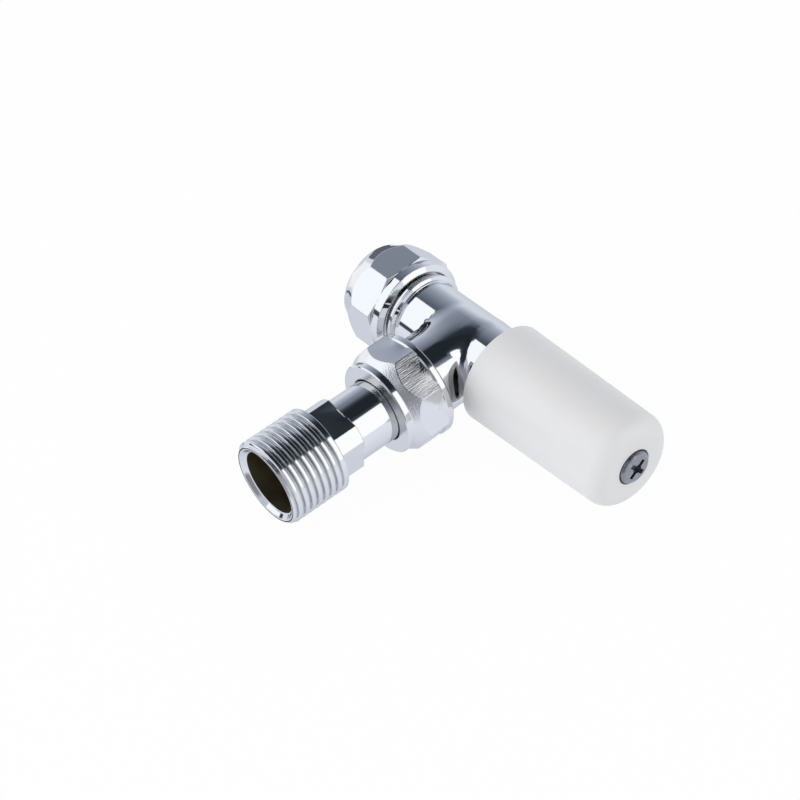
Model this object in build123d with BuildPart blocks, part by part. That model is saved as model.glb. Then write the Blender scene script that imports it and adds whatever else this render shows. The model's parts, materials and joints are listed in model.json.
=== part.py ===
"""Manual angle radiator valve: 15 mm compression inlet, half-inch union tail, white wheelhead.

The frame is that of the fitted valve. The origin is the centre of the inlet nut's open face,
+Z runs up the spindle to the wheelhead and +X runs out along the union tail. Sizes are in mm.
"""

import os
from math import cos, pi, radians, tan

from build123d import *

os.makedirs("parts", exist_ok=True)

# Driving dimensions: the valve as a whole
centre_height = 32.0  # inlet nut's face to the tail's centre line
tail_reach = 58.8  # spindle's centre line to the tail's end face

# Driving dimensions: fits and gaps
running_gap = 0.06  # radial gap of a turning or sliding fit
thread_gap = 0.08  # radial gap between a plain thread cylinder and its nut
seat_gap = 0.15  # gap between cones that come apart
face_gap = 0.05  # gap between flat faces that come apart
edge_break = 0.3  # chamfer that takes the sharpness off a turned edge

# Driving dimensions: threads, as plain cylinders over their crests
pipe_thread_radius = 20.955 / 2
thread_chamfer = 0.9
thread_runout = 0.5
headwork_thread_radius = 7.8
gland_thread_radius = 6.5
spindle_thread_radius = 5.0
screw_thread_radius = 2.0

# Driving dimensions: copper pipe and its olive
pipe_radius = 7.5
pipe_gap = 0.1
pipe_stop_height = 17.0
olive_start = 3.4
olive_length = 6.0
olive_wall = 1.2
olive_nose_wall = 0.4
olive_slope = 30.0
olive_seating = 1.8  # how deep the olive sits in the body's mouth

# Driving dimensions: octagonal nuts
nut_flats = 24.5
thread_relief = 0.5
inlet_nut_length = 14.8
inlet_nut_face_radius = 10.4
inlet_nut_face_edge = 0.8
inlet_nut_cone_top = 5.5
inlet_nut_collar_radius = 12.3
inlet_nut_collar_length = 2.1
inlet_nut_lip_wall = 0.74  # metal round the thread at the nut's upper end
inlet_nut_lip_length = 1.1
inlet_nut_turn = 23.6
union_nut_back = 15.5
union_nut_collar_radius = 12.8
union_nut_collar_length = 1.9
union_nut_cone_length = 3.2
union_nut_nose_radius = 11.3
union_nut_nose_length = 1.7
union_nut_wall = 3.2  # from the shoulder that pushes the ring to the nut's open end
union_nut_turn = -11.9

# Driving dimensions: body
barrel_radius = 9.5
barrel_neck = 6.1  # barrel left above the branch
branch_step = 0.1  # how much slimmer than the barrel the branch starts
branch_end_radius = 9.9
crotch_fillet = 3.5
inlet_thread_length = 9.2
inlet_flare_radius = 9.9
inlet_flare_height = 1.4
branch_thread_start = 15.2
branch_thread_length = 7.0
waterway_radius = 5.8
seat_below_bore = 0.6  # from the branch's bore down to the seat
seat_radius = 4.6
seat_depth = 2.0
seat_land = 1.0
seat_upstand = 1.0
chamber_gap = 0.8  # water's way round the jumper

# Driving dimensions: union tail
tail_bore_radius = 5.2
tail_wall = 2.65  # from the bore to the outside of the nose
tail_end_bore_radius = 7.83
tail_end_bore_margin = 1.9  # thread left behind the wide end of the bore
tail_neck_step = 0.2
tail_nose_length = 3.2
tail_nose_setback = 0.8
tail_nose_slope = 30.0
tail_flats = 14.9
tail_collar_radius = 8.75
tail_collar_length = 6.4
tail_flats_turn = -10.0
tail_thread_length = 14.9
ring_width = 1.7
ring_proud = 1.15
ring_groove_depth = 0.8
ring_setback = 0.3  # from the branch's end to the ring's groove
ring_split = 2.0
seal_radius = 0.5  # section of the rubber ring in the tail's nose
seal_setback = 1.55

# Driving dimensions: headwork
headwork_hex = 17.0
headwork_hex_height = 4.2
headwork_seal_height = 0.8
headwork_seal_inset = 0.3
spindle_nut_length = 6.4
guide_length = 2.4
packing_radius = 5.0
packing_height = 3.0
gland_neck_height = 5.6
gland_washer_height = 0.9
gland_nut_hex = 16.0
gland_nut_roof = 2.0
gland_take_up = 1.2  # room for tightening the gland nut

# Driving dimensions: spindle, jumper and their travel
spindle_lift = 3.6
spindle_radius = 3.5
spindle_thread_length = 9.5
spindle_square = 5.0
spindle_square_gap = 3.0  # from the gland nut up to the square, valve closed
spindle_foot_radius = 5.7
spindle_foot_height = 5.0
swivel_neck_radius = 1.9
swivel_head_radius = 2.8
swivel_head_height = 1.7
swivel_lip = 1.0
jumper_radius = 6.4
jumper_wall = 0.7
jumper_plate = 1.4
jumper_cup_depth = 1.3
jumper_washer_height = 2.2
jumper_stud_radius = 1.5
jumper_stud_proud = 0.4
jumper_nut_hex = 5.5
jumper_nut_height = 2.0

# Driving dimensions: wheelhead and its screw
wheelhead_branch_gap = 2.3  # from the branch up to the rim, valve closed
wheelhead_length = 41.2
wheelhead_hex_gap = 1.045  # from the headwork's corners out to the rim's bore
wheelhead_taper = 0.91
wheelhead_wall = 1.4
wheelhead_roof = 2.2
wheelhead_edge = 3.8
wheelhead_boss_radius = 6.2
wheelhead_boss_gap = 1.55  # from the gland nut up to the boss, valve closed
wheelhead_rib_count = 6
wheelhead_rib_thickness = 1.2
wheelhead_rib_length = 12.0
screw_proud = 1.0  # of its head above the wheelhead's end
screw_seat_wall = 2.2
screw_head_radius = 4.1
screw_head_gap = 0.33
screw_head_height = 2.4
screw_length = 12.0
screw_cross_width = 1.1
screw_cross_span = 5.0
screw_cross_depth = 1.5
screw_cross_core_radius = 1.15
screw_cross_turn = 38.0

# Worked out: shared radii and the octagon's corners
pipe_bore_radius = pipe_radius + pipe_gap
nut_thread_bore = pipe_thread_radius + thread_gap
nut_corner_radius = nut_flats / 2 / cos(pi / 8)
chamber_radius = jumper_radius + chamber_gap
tail_nose_radius = tail_bore_radius + tail_wall
tail_neck_radius = tail_nose_radius - tail_neck_step
ring_radius = tail_nose_radius + ring_proud
screw_recess_radius = screw_head_radius + screw_head_gap
wheelhead_rim_radius = headwork_hex / 2 / cos(pi / 6) + wheelhead_hex_gap + wheelhead_wall
wheelhead_top_radius = wheelhead_rim_radius - wheelhead_taper

# Worked out: olive and the cones that squeeze it
olive_radius = pipe_bore_radius + olive_wall
olive_nose_radius = pipe_bore_radius + olive_nose_wall
olive_tangent = tan(radians(olive_slope))
olive_end = olive_start + olive_length
olive_bevel = (olive_radius - olive_nose_radius) / olive_tangent
olive_cone_gap = seat_gap / cos(radians(olive_slope))
olive_cone_run = (olive_nose_radius + olive_cone_gap - pipe_bore_radius) / olive_tangent

# Worked out: heights on the inlet nut and the body's inlet
inlet_nut_collar_top = inlet_nut_length - inlet_nut_lip_length
inlet_nut_flats_top = inlet_nut_collar_top - inlet_nut_collar_length
body_inlet_end = olive_end - olive_seating
inlet_thread_top = body_inlet_end + inlet_thread_length

# Worked out: stations along the branch and the tail
branch_end = branch_thread_start + branch_thread_length
ring_groove_start = branch_end + ring_setback
union_shoulder = ring_groove_start + ring_width + 2 * face_gap
union_nut_front = union_shoulder + union_nut_wall
union_nut_nose_start = union_nut_front - union_nut_nose_length
union_nut_flats_start = union_nut_back + union_nut_collar_length
union_nut_flats_end = union_nut_nose_start - union_nut_cone_length
nose_tangent = tan(radians(tail_nose_slope))
nose_wide_end = branch_end - tail_nose_setback
nose_cone_gap = seat_gap / cos(radians(tail_nose_slope))
tail_thread_start = tail_reach - tail_thread_length
tail_collar_start = tail_thread_start - tail_collar_length
tail_end_bore_start = tail_thread_start + tail_end_bore_margin

# Worked out: heights from the seat up to the top of the spindle, valve closed
barrel_top = centre_height + branch_end_radius + barrel_neck
seat_height = centre_height - tail_bore_radius - seat_below_bore
washer_bottom = seat_height + face_gap
plate_bottom = washer_bottom + jumper_washer_height
plate_top = plate_bottom + jumper_plate
foot_bottom = plate_top + 2 * face_gap
foot_top = foot_bottom + spindle_foot_height
swivel_head_bottom = foot_bottom + swivel_lip + face_gap
headwork_bottom = foot_top + spindle_lift + 2 * face_gap
headwork_hex_bottom = barrel_top + headwork_seal_height
headwork_hex_top = headwork_hex_bottom + headwork_hex_height
spindle_thread_top = foot_top + spindle_thread_length
guide_bottom = spindle_thread_top + spindle_lift + 4 * face_gap
packing_bottom = guide_bottom + guide_length
gland_neck_top = headwork_hex_top + gland_neck_height
gland_washer_bottom = packing_bottom + packing_height
gland_washer_top = gland_washer_bottom + gland_washer_height
gland_nut_bottom = headwork_hex_top + gland_take_up
gland_nut_top = gland_neck_top + gland_take_up + gland_nut_roof
square_bottom = gland_nut_top + spindle_square_gap
boss_bottom = gland_nut_top + wheelhead_boss_gap
wheelhead_rim_height = centre_height + branch_end_radius + wheelhead_branch_gap
wheelhead_top = wheelhead_rim_height + wheelhead_length
screw_seat = wheelhead_top + screw_proud - screw_head_height
socket_top = screw_seat - screw_seat_wall
spindle_top = socket_top - face_gap

spindle_axis = Axis.Z
tail_axis = Axis((0, 0, centre_height), (1, 0, 0))


def turned(points):
    """Closed outline on the XZ plane, ready to be turned about the spindle's axis."""
    with BuildSketch(Plane.XZ) as section:
        with BuildLine():
            Polyline(*points, close=True)
        make_face()
    return section.sketch


def turned_along_tail(points):
    """Closed outline of distances and radii, ready to be turned about the tail's axis."""
    return turned([(distance, centre_height + radius) for distance, radius in points])


def across_tail(distance):
    """Plane square to the tail's axis, at a distance from the spindle's axis."""
    return Plane(origin=(distance, 0, centre_height), x_dir=(0, 1, 0), z_dir=(1, 0, 0))


# Inlet nut: eight flats between a coned open face and a round collar
with BuildPart() as inlet_nut:
    revolve(turned([
        (0, 0),
        (inlet_nut_face_radius, 0),
        (inlet_nut_face_radius + edge_break, inlet_nut_face_edge),
        (nut_corner_radius, inlet_nut_cone_top),
        (nut_corner_radius, inlet_nut_flats_top),
        (inlet_nut_collar_radius, inlet_nut_flats_top + edge_break),
        (0, inlet_nut_flats_top + edge_break),
    ]), spindle_axis)
    with BuildSketch():
        RegularPolygon(nut_flats / 2, 8, major_radius=False, rotation=inlet_nut_turn)
    extrude(amount=inlet_nut_length, mode=Mode.INTERSECT)
    revolve(turned([
        (0, inlet_nut_flats_top),
        (inlet_nut_collar_radius - edge_break, inlet_nut_flats_top),
        (inlet_nut_collar_radius, inlet_nut_flats_top + edge_break),
        (inlet_nut_collar_radius, inlet_nut_collar_top - edge_break),
        (inlet_nut_collar_radius - edge_break, inlet_nut_collar_top),
        (nut_thread_bore + inlet_nut_lip_wall, inlet_nut_collar_top),
        (nut_thread_bore + inlet_nut_lip_wall, inlet_nut_length - edge_break),
        (nut_thread_bore + inlet_nut_lip_wall - edge_break, inlet_nut_length),
        (0, inlet_nut_length),
    ]), spindle_axis)
    revolve(turned([
        (0, 0),
        (pipe_bore_radius, 0),
        (pipe_bore_radius, olive_start - olive_cone_run),
        (olive_radius + olive_cone_gap, olive_start + olive_bevel),
        (olive_radius + olive_cone_gap, body_inlet_end - 2 * thread_relief),
        (nut_thread_bore, body_inlet_end - thread_relief),
        (nut_thread_bore, inlet_nut_length),
        (0, inlet_nut_length),
    ]), spindle_axis, mode=Mode.SUBTRACT)
inlet_nut.part.label = "inlet_nut"
export_step(inlet_nut.part, "parts/inlet_nut.step")

# Olive: the brass ring that the inlet nut squeezes on to the pipe
with BuildPart() as olive:
    revolve(turned([
        (pipe_bore_radius, olive_start),
        (olive_nose_radius, olive_start),
        (olive_radius, olive_start + olive_bevel),
        (olive_radius, olive_end - olive_bevel),
        (olive_nose_radius, olive_end),
        (pipe_bore_radius, olive_end),
    ]), spindle_axis)
olive.part.label = "olive"
export_step(olive.part, "parts/olive.step")

# Body: a forged tee with the pipe socket below, the seat inside and the union branch at the side
body_mouth_radius = olive_nose_radius + olive_cone_gap + (olive_end - body_inlet_end) * olive_tangent
outlet_mouth_radius = tail_nose_radius + nose_cone_gap + tail_nose_setback * nose_tangent
outlet_cone_run = (outlet_mouth_radius - tail_bore_radius) / nose_tangent
crotch_room = branch_thread_start - thread_runout - barrel_radius - edge_break
with BuildPart() as valve_body:
    revolve(turned([
        (0, inlet_thread_top),
        (inlet_flare_radius, inlet_thread_top),
        (barrel_radius, inlet_thread_top + inlet_flare_height),
        (barrel_radius, barrel_top),
        (0, barrel_top),
    ]), spindle_axis)
    revolve(turned_along_tail([
        (0, 0),
        (0, barrel_radius - branch_step),
        (branch_thread_start - thread_runout, branch_end_radius),
        (branch_thread_start - thread_runout, 0),
    ]), tail_axis)
    fillet(valve_body.edges().filter_by(GeomType.BSPLINE), min(crotch_fillet, crotch_room))
    revolve(turned([
        (0, body_inlet_end),
        (pipe_thread_radius - thread_chamfer, body_inlet_end),
        (pipe_thread_radius, body_inlet_end + thread_chamfer),
        (pipe_thread_radius, inlet_thread_top - thread_runout),
        (inlet_flare_radius, inlet_thread_top),
        (0, inlet_thread_top),
    ]), spindle_axis)
    revolve(turned_along_tail([
        (branch_thread_start - thread_runout, 0),
        (branch_thread_start - thread_runout, branch_end_radius),
        (branch_thread_start, pipe_thread_radius),
        (branch_end - thread_chamfer, pipe_thread_radius),
        (branch_end, pipe_thread_radius - thread_chamfer),
        (branch_end, 0),
    ]), tail_axis)
    revolve(turned([
        (0, body_inlet_end),
        (body_mouth_radius, body_inlet_end),
        (pipe_bore_radius, olive_end + olive_cone_run),
        (pipe_bore_radius, pipe_stop_height),
        (waterway_radius, pipe_stop_height),
        (waterway_radius, seat_height - seat_depth - waterway_radius + seat_radius),
        (seat_radius, seat_height - seat_depth),
        (seat_radius, seat_height),
        (seat_radius + seat_land, seat_height),
        (seat_radius + seat_land, seat_height - seat_upstand),
        (chamber_radius, seat_height - seat_upstand),
        (chamber_radius, headwork_bottom - thread_relief),
        (headwork_thread_radius + thread_gap, headwork_bottom - thread_relief),
        (headwork_thread_radius + thread_gap, barrel_top),
        (0, barrel_top),
    ]), spindle_axis, mode=Mode.SUBTRACT)
    revolve(turned_along_tail([
        (0, 0),
        (0, tail_bore_radius),
        (branch_end - outlet_cone_run, tail_bore_radius),
        (branch_end, outlet_mouth_radius),
        (branch_end, 0),
    ]), tail_axis, mode=Mode.SUBTRACT)
valve_body.part.label = "valve_body"
export_step(valve_body.part, "parts/valve_body.step")

# Union nut: eight flats between a round back collar and a coned nose that hugs the tail's neck
with BuildPart() as union_nut:
    revolve(turned_along_tail([
        (union_nut_flats_start - edge_break, 0),
        (union_nut_flats_start - edge_break, union_nut_collar_radius),
        (union_nut_flats_start, nut_corner_radius),
        (union_nut_flats_end, nut_corner_radius),
        (union_nut_nose_start, union_nut_nose_radius),
        (union_nut_nose_start, 0),
    ]), tail_axis)
    with BuildSketch(across_tail(union_nut_back)):
        RegularPolygon(nut_flats / 2, 8, major_radius=False, rotation=union_nut_turn)
    extrude(amount=union_nut_front - union_nut_back, mode=Mode.INTERSECT)
    revolve(turned_along_tail([
        (union_nut_back, 0),
        (union_nut_back, union_nut_collar_radius - edge_break),
        (union_nut_back + edge_break, union_nut_collar_radius),
        (union_nut_flats_start - edge_break, union_nut_collar_radius),
        (union_nut_flats_start, union_nut_collar_radius - edge_break),
        (union_nut_nose_start, union_nut_nose_radius),
        (union_nut_front - edge_break, union_nut_nose_radius),
        (union_nut_front, union_nut_nose_radius - edge_break),
        (union_nut_front, 0),
    ]), tail_axis)
    revolve(turned_along_tail([
        (union_nut_back, 0),
        (union_nut_back, nut_thread_bore),
        (branch_end + thread_relief, nut_thread_bore),
        (ring_groove_start + 2 * thread_relief, ring_radius + edge_break),
        (union_shoulder, ring_radius + edge_break),
        (union_shoulder, tail_nose_radius + thread_gap),
        (union_nut_front, tail_nose_radius + thread_gap),
        (union_nut_front, 0),
    ]), tail_axis, mode=Mode.SUBTRACT)
union_nut.part.label = "union_nut"
export_step(union_nut.part, "parts/union_nut.step")

# Union tail: coned nose, ring groove, smooth neck, spanner flats and the radiator thread
nose_tip = nose_wide_end - tail_nose_length
seal_station = nose_wide_end - seal_setback
seal_cone_radius = tail_nose_radius + nose_cone_gap - seal_setback * nose_tangent
seal_ring_radius = seal_cone_radius - (seal_radius + running_gap) / cos(radians(tail_nose_slope))
seal_groove_bottom = seal_ring_radius - seal_radius - running_gap
with BuildPart() as union_tail:
    with BuildSketch(across_tail(tail_collar_start)):
        Circle(tail_collar_radius)
        Rectangle(tail_flats, tail_flats, rotation=tail_flats_turn, mode=Mode.INTERSECT)
    extrude(amount=tail_collar_length)
    revolve(turned_along_tail([
        (nose_tip, 0),
        (nose_tip, tail_nose_radius - tail_nose_length * nose_tangent),
        (nose_wide_end, tail_nose_radius),
        (ring_groove_start, tail_nose_radius),
        (ring_groove_start, tail_nose_radius - ring_groove_depth),
        (union_shoulder, tail_nose_radius - ring_groove_depth),
        (union_shoulder, tail_neck_radius),
        (tail_collar_start + edge_break, tail_neck_radius),
        (tail_collar_start + edge_break, tail_bore_radius),
        (tail_thread_start, tail_bore_radius),
        (tail_thread_start, pipe_thread_radius - thread_chamfer),
        (tail_thread_start + thread_chamfer / 2, pipe_thread_radius),
        (tail_reach - thread_chamfer, pipe_thread_radius),
        (tail_reach, pipe_thread_radius - thread_chamfer),
        (tail_reach, 0),
    ]), tail_axis)
    revolve(turned_along_tail([
        (nose_tip, 0),
        (nose_tip, tail_bore_radius),
        (tail_end_bore_start - tail_end_bore_radius + tail_bore_radius, tail_bore_radius),
        (tail_end_bore_start, tail_end_bore_radius),
        (tail_reach, tail_end_bore_radius),
        (tail_reach, 0),
    ]), tail_axis, mode=Mode.SUBTRACT)
    revolve(turned_along_tail([
        (seal_station - seal_radius - running_gap, seal_groove_bottom),
        (seal_station - seal_radius - running_gap, tail_nose_radius),
        (seal_station + seal_radius + running_gap, tail_nose_radius),
        (seal_station + seal_radius + running_gap, seal_groove_bottom),
    ]), tail_axis, mode=Mode.SUBTRACT)
union_tail.part.label = "union_tail"
export_step(union_tail.part, "parts/union_tail.step")

# Retaining ring: split ring in the tail's groove, which the union nut pushes on
with BuildPart() as retaining_ring:
    with BuildSketch(across_tail(ring_groove_start + face_gap)):
        Circle(ring_radius)
        Circle(tail_nose_radius - ring_groove_depth + running_gap, mode=Mode.SUBTRACT)
        with Locations((0, ring_radius)):
            Rectangle(ring_split, 2 * ring_width + ring_split, mode=Mode.SUBTRACT)
    extrude(amount=ring_width)
retaining_ring.part.label = "retaining_ring"
export_step(retaining_ring.part, "parts/retaining_ring.step")

# Tail seal: rubber ring in the nose's groove
with BuildPart() as tail_seal:
    with BuildSketch(Plane.XZ):
        with Locations((seal_station, centre_height + seal_ring_radius)):
            Circle(seal_radius)
    revolve(axis=tail_axis)
tail_seal.part.label = "tail_seal"
export_step(tail_seal.part, "parts/tail_seal.step")

# Headwork: screws into the barrel, carries the spindle's nut thread and the packing chamber
with BuildPart() as headwork:
    with BuildSketch(Plane.XY.offset(headwork_hex_bottom)):
        RegularPolygon(headwork_hex / 2, 6, major_radius=False)
    extrude(amount=headwork_hex_height)
    chamfer(headwork.edges().group_by(SortBy.LENGTH)[-1].group_by(Axis.Z)[-1], edge_break)
    revolve(turned([
        (0, headwork_bottom),
        (headwork_thread_radius - thread_relief, headwork_bottom),
        (headwork_thread_radius, headwork_bottom + thread_relief),
        (headwork_thread_radius, headwork_hex_bottom),
        (gland_thread_radius, headwork_hex_top),
        (gland_thread_radius, gland_neck_top - thread_relief),
        (gland_thread_radius - thread_relief, gland_neck_top),
        (0, gland_neck_top),
    ]), spindle_axis)
    revolve(turned([
        (0, headwork_bottom),
        (spindle_thread_radius + thread_gap, headwork_bottom),
        (spindle_thread_radius + thread_gap, headwork_bottom + spindle_nut_length),
        (spindle_thread_radius + edge_break, headwork_bottom + spindle_nut_length),
        (spindle_thread_radius + edge_break, guide_bottom),
        (spindle_radius + running_gap, guide_bottom),
        (spindle_radius + running_gap, packing_bottom),
        (packing_radius, packing_bottom),
        (packing_radius, gland_neck_top),
        (0, gland_neck_top),
    ]), spindle_axis, mode=Mode.SUBTRACT)
headwork.part.label = "headwork"
export_step(headwork.part, "parts/headwork.step")


def ring_of(bottom, height, inner, outer):
    """Flat ring round the spindle's axis, as a sketch that is ready to be turned."""
    return turned([(inner, bottom), (outer, bottom), (outer, bottom + height), (inner, bottom + height)])


# Headwork seal: flat ring between the barrel's top and the headwork's hexagon
with BuildPart() as headwork_seal:
    revolve(ring_of(barrel_top, headwork_seal_height, headwork_thread_radius + thread_gap,
                    barrel_radius - headwork_seal_inset), spindle_axis)
headwork_seal.part.label = "headwork_seal"
export_step(headwork_seal.part, "parts/headwork_seal.step")

# Gland: packing ring, brass washer and the nut that presses them round the spindle
with BuildPart() as gland_packing:
    revolve(ring_of(packing_bottom, packing_height, spindle_radius + running_gap,
                    packing_radius - running_gap), spindle_axis)
gland_packing.part.label = "gland_packing"
export_step(gland_packing.part, "parts/gland_packing.step")

with BuildPart() as gland_washer:
    revolve(ring_of(gland_washer_bottom, gland_washer_height, spindle_radius + thread_gap,
                    packing_radius - running_gap), spindle_axis)
gland_washer.part.label = "gland_washer"
export_step(gland_washer.part, "parts/gland_washer.step")

with BuildPart() as gland_nut:
    with BuildSketch(Plane.XY.offset(gland_nut_bottom)):
        RegularPolygon(gland_nut_hex / 2, 6, major_radius=False)
    extrude(amount=gland_nut_top - gland_nut_bottom)
    chamfer(gland_nut.edges().group_by(Axis.Z)[-1], edge_break)
    revolve(turned([
        (0, gland_nut_bottom),
        (gland_thread_radius + thread_gap, gland_nut_bottom),
        (gland_thread_radius + thread_gap, gland_nut_top - gland_nut_roof),
        (0, gland_nut_top - gland_nut_roof),
    ]), spindle_axis, mode=Mode.SUBTRACT)
    revolve(turned([
        (0, gland_washer_top),
        (packing_radius - running_gap, gland_washer_top),
        (packing_radius - running_gap, gland_nut_top - gland_nut_roof),
        (0, gland_nut_top - gland_nut_roof),
    ]), spindle_axis)
    with Locations((0, 0, gland_nut_top)):
        Hole(spindle_radius + thread_gap)
gland_nut.part.label = "gland_nut"
export_step(gland_nut.part, "parts/gland_nut.step")

# Spindle: foot with the swivel's pocket, lifting thread, plain shaft and square drive
with BuildPart() as spindle:
    revolve(turned([
        (0, foot_bottom),
        (spindle_foot_radius - edge_break, foot_bottom),
        (spindle_foot_radius, foot_bottom + edge_break),
        (spindle_foot_radius, foot_top),
        (spindle_thread_radius, foot_top),
        (spindle_thread_radius, spindle_thread_top - thread_relief),
        (spindle_thread_radius - thread_relief, spindle_thread_top),
        (spindle_radius, spindle_thread_top),
        (spindle_radius, square_bottom),
        (0, square_bottom),
    ]), spindle_axis)
    with BuildSketch(Plane.XY.offset(square_bottom)):
        Circle(spindle_radius)
        Rectangle(spindle_square, spindle_square, mode=Mode.INTERSECT)
    extrude(amount=spindle_top - square_bottom)
    revolve(turned([
        (0, foot_bottom),
        (swivel_neck_radius + running_gap, foot_bottom),
        (swivel_neck_radius + running_gap, foot_bottom + swivel_lip),
        (swivel_head_radius + running_gap, foot_bottom + swivel_lip),
        (swivel_head_radius + running_gap, swivel_head_bottom + swivel_head_height + face_gap),
        (0, swivel_head_bottom + swivel_head_height + face_gap),
    ]), spindle_axis, mode=Mode.SUBTRACT)
    with Locations((0, 0, spindle_top)):
        Hole(screw_thread_radius + thread_gap, depth=screw_length)
spindle.part.label = "spindle"
export_step(spindle.part, "parts/spindle.step")

# Jumper: the cup that holds the rubber washer, with a swivel head above and a stud below
with BuildPart() as jumper:
    revolve(turned([
        (0, washer_bottom - jumper_nut_height - jumper_stud_proud),
        (jumper_stud_radius, washer_bottom - jumper_nut_height - jumper_stud_proud),
        (jumper_stud_radius, plate_bottom),
        (jumper_radius - jumper_wall, plate_bottom),
        (jumper_radius - jumper_wall, plate_bottom - jumper_cup_depth),
        (jumper_radius, plate_bottom - jumper_cup_depth),
        (jumper_radius, plate_top - edge_break),
        (jumper_radius - edge_break, plate_top),
        (swivel_neck_radius, plate_top),
        (swivel_neck_radius, swivel_head_bottom),
        (swivel_head_radius, swivel_head_bottom),
        (swivel_head_radius, swivel_head_bottom + swivel_head_height),
        (0, swivel_head_bottom + swivel_head_height),
    ]), spindle_axis)
jumper.part.label = "jumper"
export_step(jumper.part, "parts/jumper.step")

with BuildPart() as jumper_washer:
    revolve(ring_of(washer_bottom, jumper_washer_height, jumper_stud_radius + running_gap,
                    jumper_radius - jumper_wall - running_gap), spindle_axis)
jumper_washer.part.label = "jumper_washer"
export_step(jumper_washer.part, "parts/jumper_washer.step")

with BuildPart() as jumper_nut:
    with BuildSketch(Plane.XY.offset(washer_bottom - jumper_nut_height)):
        RegularPolygon(jumper_nut_hex / 2, 6, major_radius=False)
        Circle(jumper_stud_radius + thread_gap, mode=Mode.SUBTRACT)
    extrude(amount=jumper_nut_height)
jumper_nut.part.label = "jumper_nut"
export_step(jumper_nut.part, "parts/jumper_nut.step")

# Wheelhead: a tapered moulded cap, hollow below, with a ribbed boss that drives the spindle
cavity_top = wheelhead_top - wheelhead_roof
with BuildPart() as wheelhead:
    revolve(turned([
        (0, wheelhead_rim_height),
        (wheelhead_rim_radius, wheelhead_rim_height),
        (wheelhead_top_radius, wheelhead_top),
        (0, wheelhead_top),
    ]), spindle_axis)
    fillet(wheelhead.edges().sort_by(Axis.Z)[-1], wheelhead_edge)
    revolve(turned([
        (0, wheelhead_rim_height),
        (wheelhead_rim_radius - wheelhead_wall, wheelhead_rim_height),
        (wheelhead_top_radius - wheelhead_wall, cavity_top - wheelhead_edge + wheelhead_wall),
        (wheelhead_top_radius - wheelhead_edge, cavity_top),
        (0, cavity_top),
    ]), spindle_axis, mode=Mode.SUBTRACT)
    with BuildSketch(Plane.XY.offset(boss_bottom)):
        Circle(wheelhead_boss_radius)
    extrude(amount=wheelhead_top - wheelhead_roof / 2 - boss_bottom)
    with BuildSketch(Plane.XY.offset(cavity_top - wheelhead_rib_length)):
        with PolarLocations((wheelhead_boss_radius + wheelhead_top_radius - wheelhead_wall) / 2,
                            wheelhead_rib_count):
            Rectangle(wheelhead_top_radius - wheelhead_boss_radius, wheelhead_rib_thickness)
    extrude(amount=wheelhead_rib_length - wheelhead_edge + wheelhead_wall)
    with BuildSketch(Plane.XY.offset(boss_bottom)):
        Rectangle(spindle_square + 2 * running_gap, spindle_square + 2 * running_gap)
    extrude(amount=socket_top - boss_bottom, mode=Mode.SUBTRACT)
    revolve(turned([
        (0, boss_bottom),
        (spindle_radius + running_gap, boss_bottom),
        (spindle_radius + running_gap, square_bottom + face_gap),
        (0, square_bottom + face_gap),
    ]), spindle_axis, mode=Mode.SUBTRACT)
    with Locations((0, 0, wheelhead_top)):
        CounterBoreHole(screw_thread_radius + thread_gap, screw_recess_radius,
                        wheelhead_top - screw_seat, depth=wheelhead_top - socket_top)
wheelhead.part.label = "wheelhead"
export_step(wheelhead.part, "parts/wheelhead.step")

# Wheelhead screw: pan head with a cross recess
screw_top = screw_seat + screw_head_height
with BuildPart() as wheelhead_screw:
    with BuildSketch(Plane.XY.offset(screw_seat)):
        Circle(screw_head_radius)
    extrude(amount=screw_head_height)
    fillet(wheelhead_screw.edges().group_by(Axis.Z)[-1], screw_head_height / 2)
    with BuildSketch(Plane.XY.offset(screw_top - screw_cross_depth)):
        Circle(screw_cross_core_radius)
        Rectangle(screw_cross_span, screw_cross_width, rotation=screw_cross_turn)
        Rectangle(screw_cross_width, screw_cross_span, rotation=screw_cross_turn)
    extrude(amount=screw_cross_depth, mode=Mode.SUBTRACT)
    with BuildSketch(Plane.XY.offset(screw_seat - screw_length)):
        Circle(screw_thread_radius)
    extrude(amount=screw_length)
wheelhead_screw.part.label = "wheelhead_screw"
export_step(wheelhead_screw.part, "parts/wheelhead_screw.step")
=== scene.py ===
# Manual radiator valve: the dressed model, its studio and its camera.
# Sizes in the dictionaries are millimetres unless the comment says otherwise. The scene itself is in metres.
import json
from math import atan2, cos, degrees, hypot, pi, radians, sin

import bmesh
import bpy
import numpy
from mathutils import Matrix, Vector


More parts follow.
